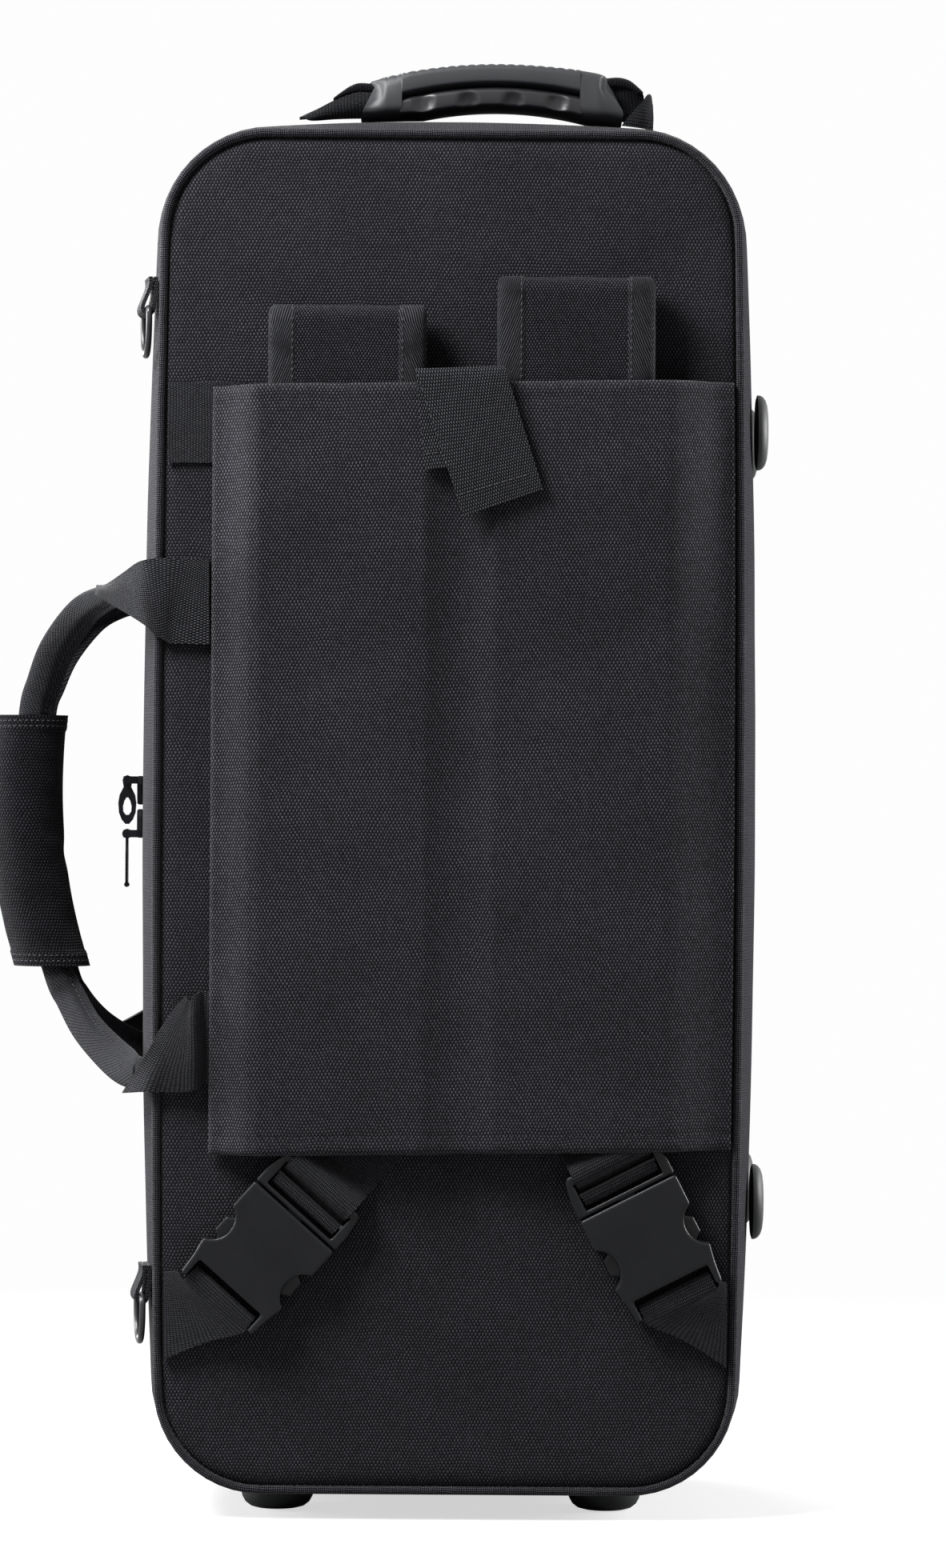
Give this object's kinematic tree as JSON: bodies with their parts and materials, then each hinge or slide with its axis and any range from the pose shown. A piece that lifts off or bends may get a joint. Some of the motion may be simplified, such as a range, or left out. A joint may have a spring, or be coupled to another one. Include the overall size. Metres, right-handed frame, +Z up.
{
  "type": "alto saxophone case",
  "caption": "Upright soft-covered saxophone case with hinged lid, fitted foam, tuck-away shoulder straps on buckles, zip, pocket and carry handles.",
  "frame": {"origin": "middle of the bounding box, on the floor plane under the bottom feet", "axes": "+Z up along the case's length; -Y is the face with the shoulder straps and their cover flap; +Y is the lid; the closing zip lies in the plane Y = 0; +X points from the zip and side grip towards the hinge and side feet"},
  "size_m": [0.3731, 0.2389, 0.6916],
  "materials": {
    "cover": "charcoal coarse plain weave",
    "webbing": "ribbed dark grey webbing",
    "strap_padding": "padded cloth with bound edges",
    "piping": "woven cord piping",
    "tape": "black zip tape with moulded coil",
    "shell": "rigid foam board",
    "plush": "short plush over foam",
    "foot_rubber": "matte black",
    "grip_rubber": "soft moulded grip",
    "buckle_plastic": "satin black moulded plastic",
    "ring_plastic": "black",
    "slider_metal": "black painted zip slider"
  },
  "bodies": {
    "back_half": {"back_shell": "shell", "back_panel": "cover", "back_gusset": "cover", "back_piping": "piping", "base_insert": "plush", "zip_tape_back": "tape", "hinge_tape_back": "tape", "strap_anchor_band": "webbing", "shoulder_strap_left": "strap_padding", "shoulder_strap_right": "strap_padding", "strap_webbing_left": "webbing", "strap_webbing_right": "webbing", "corner_webbing_left": "webbing", "corner_webbing_right": "webbing", "buckle_body_left": "buckle_plastic", "buckle_body_right": "buckle_plastic", "buckle_frame_left": "buckle_plastic", "buckle_frame_right": "buckle_plastic", "ring_loop_upper": "webbing", "ring_loop_lower": "webbing", "handle_anchor_upper": "webbing", "handle_anchor_lower": "webbing", "bottom_foot_back_left": "foot_rubber", "bottom_foot_back_right": "foot_rubber", "side_foot_back_upper": "foot_rubber", "side_foot_back_lower": "foot_rubber"},
    "lid": {"lid_shell": "shell", "lid_panel": "cover", "lid_gusset": "cover", "lid_piping": "piping", "lid_insert": "plush", "zip_tape_lid": "tape", "hinge_tape_lid": "tape", "pocket_gusset": "cover", "bottom_foot_lid_left": "foot_rubber", "bottom_foot_lid_right": "foot_rubber", "side_foot_lid_upper": "foot_rubber", "side_foot_lid_lower": "foot_rubber"},
    "flap": {"strap_cover": "cover", "pull_tab": "webbing"},
    "handle_back": {"carry_handle_back": "webbing", "grip_wrap_back": "cover"},
    "handle_lid": {"carry_handle_lid": "webbing", "grip_wrap_lid": "cover"},
    "top_handle": {"top_handle_grip": "grip_rubber", "top_handle_insert": "grip_rubber", "top_handle_webbing": "webbing"},
    "slider_upper": {"zip_slider_upper": "slider_metal"},
    "slider_lower": {"zip_slider_lower": "slider_metal"},
    "pull_upper": {"zip_pull_upper": "slider_metal"},
    "pull_lower": {"zip_pull_lower": "slider_metal"},
    "pocket": {"pocket_front": "cover"},
    "slider_pocket": {"pocket_slider": "slider_metal"},
    "pull_pocket": {"pocket_pull": "slider_metal"},
    "ring_upper": {"d_ring_upper": "ring_plastic"},
    "ring_lower": {"d_ring_lower": "ring_plastic"},
    "prong_left_outer": {"buckle_prong_left_outer": "buckle_plastic"},
    "prong_left_inner": {"buckle_prong_left_inner": "buckle_plastic"},
    "prong_right_outer": {"buckle_prong_right_outer": "buckle_plastic"},
    "prong_right_inner": {"buckle_prong_right_inner": "buckle_plastic"}
  },
  "joints": [
    {"name": "lid_hinge", "type": "hinge", "parent": "back_half", "child": "lid", "pos_m": [0.18304, 0, 0.3335], "axis": [0, 0, -1], "range_deg": [0, 120]},
    {"name": "flap_hinge", "type": "hinge", "parent": "back_half", "child": "flap", "pos_m": [0.16865, -0.0978, 0.355], "axis": [0, 0, 1], "range_deg": [0, 150]},
    {"name": "handle_back_swing", "type": "hinge", "parent": "back_half", "child": "handle_back", "pos_m": [-0.10275, -0.0973, 0.33], "axis": [0, 0, 1], "range_deg": [0, 70]},
    {"name": "handle_lid_swing", "type": "hinge", "parent": "lid", "child": "handle_lid", "pos_m": [-0.10275, 0.0873, 0.33], "axis": [0, 0, -1], "range_deg": [0, 70]},
    {"name": "top_handle_tilt", "type": "hinge", "parent": "back_half", "child": "top_handle", "pos_m": [0.03505, -0.0475, 0.66261], "axis": [1, 0, 0], "range_deg": [-8, 8]},
    {"name": "slider_upper_travel", "type": "slide", "parent": "back_half", "child": "slider_upper", "axis": [0, 0, 1], "range_m": [0, 0.235]},
    {"name": "slider_lower_travel", "type": "slide", "parent": "back_half", "child": "slider_lower", "axis": [0, 0, -1], "range_m": [0, 0.24]},
    {"name": "pull_upper_swing", "type": "hinge", "parent": "slider_upper", "child": "pull_upper", "pos_m": [-0.12214, 0, 0.3477], "axis": [0, 1, 0], "range_deg": [0, 140]},
    {"name": "pull_lower_swing", "type": "hinge", "parent": "slider_lower", "child": "pull_lower", "pos_m": [-0.12214, 0, 0.3215], "axis": [0, 1, 0], "range_deg": [0, 140]},
    {"name": "pocket_open", "type": "hinge", "parent": "lid", "child": "pocket", "pos_m": [0.03505, 0.0995, 0.0741], "axis": [-1, 0, 0], "range_deg": [0, 45]},
    {"name": "slider_pocket_travel", "type": "slide", "parent": "lid", "child": "slider_pocket", "axis": [0, 0, 1], "range_m": [0, 0.22]},
    {"name": "pull_pocket_swing", "type": "hinge", "parent": "slider_pocket", "child": "pull_pocket", "pos_m": [-0.08415, 0.0995, 0.14], "axis": [0, 1, 0], "range_deg": [0, 140]},
    {"name": "ring_upper_swing", "type": "hinge", "parent": "back_half", "child": "ring_upper", "pos_m": [-0.10964, -0.07682, 0.5705], "axis": [-0.1566, 0.9877, 0], "range_deg": [0, 100]},
    {"name": "ring_lower_swing", "type": "hinge", "parent": "back_half", "child": "ring_lower", "pos_m": [-0.10982, -0.07683, 0.1035], "axis": [-0.1599, 0.9871, 0], "range_deg": [0, 100]},
    {"name": "prong_left_outer_flex", "type": "hinge", "parent": "back_half", "child": "prong_left_outer", "pos_m": [-0.0478, -0.1018, 0.15188], "axis": [0, -1, 0], "range_deg": [0, 8], "stiffness_Nm_per_rad": 0.8},
    {"name": "prong_left_inner_flex", "type": "hinge", "parent": "back_half", "child": "prong_left_inner", "pos_m": [-0.02618, -0.1018, 0.13255], "axis": [0, 1, 0], "range_deg": [0, 8], "stiffness_Nm_per_rad": 0.8},
    {"name": "prong_right_outer_flex", "type": "hinge", "parent": "back_half", "child": "prong_right_outer", "pos_m": [0.13399, -0.1018, 0.15815], "axis": [0, 1, 0], "range_deg": [0, 8], "stiffness_Nm_per_rad": 0.8},
    {"name": "prong_right_inner_flex", "type": "hinge", "parent": "back_half", "child": "prong_right_inner", "pos_m": [0.10815, -0.1018, 0.14498], "axis": [0, -1, 0], "range_deg": [0, 8], "stiffness_Nm_per_rad": 0.8}
  ]
}
